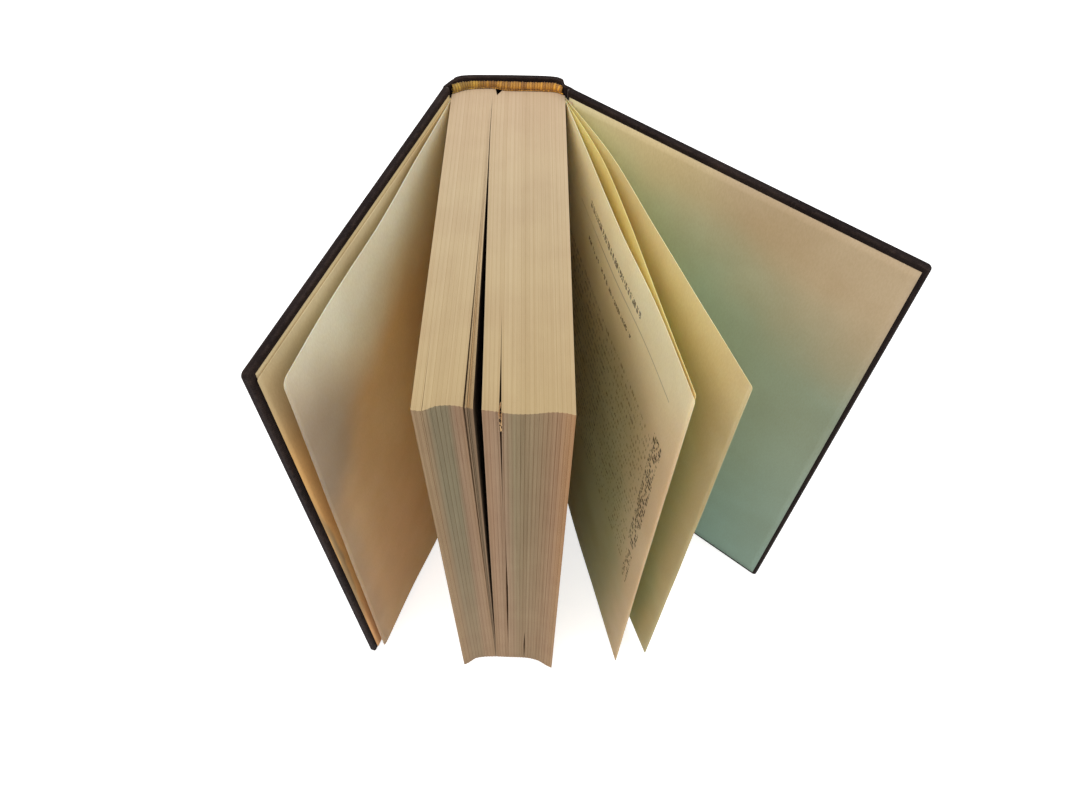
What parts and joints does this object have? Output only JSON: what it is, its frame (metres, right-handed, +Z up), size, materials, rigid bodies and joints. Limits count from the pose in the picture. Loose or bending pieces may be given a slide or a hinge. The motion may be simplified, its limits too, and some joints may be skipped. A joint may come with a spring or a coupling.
{
  "type": "open hardcover book",
  "caption": "Case-bound book standing on its tail with both covers fanned open, loose leaves between the page block and the boards, and covers that swing at the spine joints.",
  "frame": {"origin": "middle of the spine's tail edge, on the surface the book stands on", "axes": "+Z up from tail to head, +Y out of the spine, the fore-edge towards -Y, the front cover towards -X and the back cover towards +X"},
  "size_m": [0.1782, 0.1318, 0.206],
  "materials": {
    "pages": "matt, aged",
    "endpapers": "matt, aged",
    "board": "matt",
    "case_cloth": "fine weave",
    "band": "woven stripes",
    "mull": "open weave",
    "spine_paper": "matt"
  },
  "bodies": {
    "book_block": {"text_block": "pages", "front_loose_leaf": "pages", "back_loose_leaves": "pages", "front_flyleaf": "endpapers", "back_flyleaf": "endpapers", "headband": "band", "tailband": "band", "spine_mull": "mull", "spine_lining": "spine_paper", "spine_inlay": "board", "spine_cloth": "case_cloth", "front_joint_cloth": "case_cloth", "back_joint_cloth": "case_cloth"},
    "front_cover": {"front_board": "board", "front_cover_cloth": "case_cloth", "front_pastedown": "endpapers", "front_mull_flange": "mull"},
    "back_cover": {"back_board": "board", "back_cover_cloth": "case_cloth", "back_pastedown": "endpapers", "back_mull_flange": "mull"}
  },
  "joints": [
    {"name": "front_cover_hinge", "type": "hinge", "parent": "book_block", "child": "front_cover", "pos_m": [-0.02, -0.0067, 0], "axis": [0, 0, -1], "range_deg": [-17.7, 160.8], "deforming": ["front_joint_cloth", "front_flyleaf", "front_loose_leaf"]},
    {"name": "back_cover_hinge", "type": "hinge", "parent": "book_block", "child": "back_cover", "pos_m": [0.02, -0.0067, 0], "axis": [0, 0, 1], "range_deg": [-49.8, 128.7], "deforming": ["back_joint_cloth", "back_flyleaf", "back_loose_leaves"]}
  ]
}
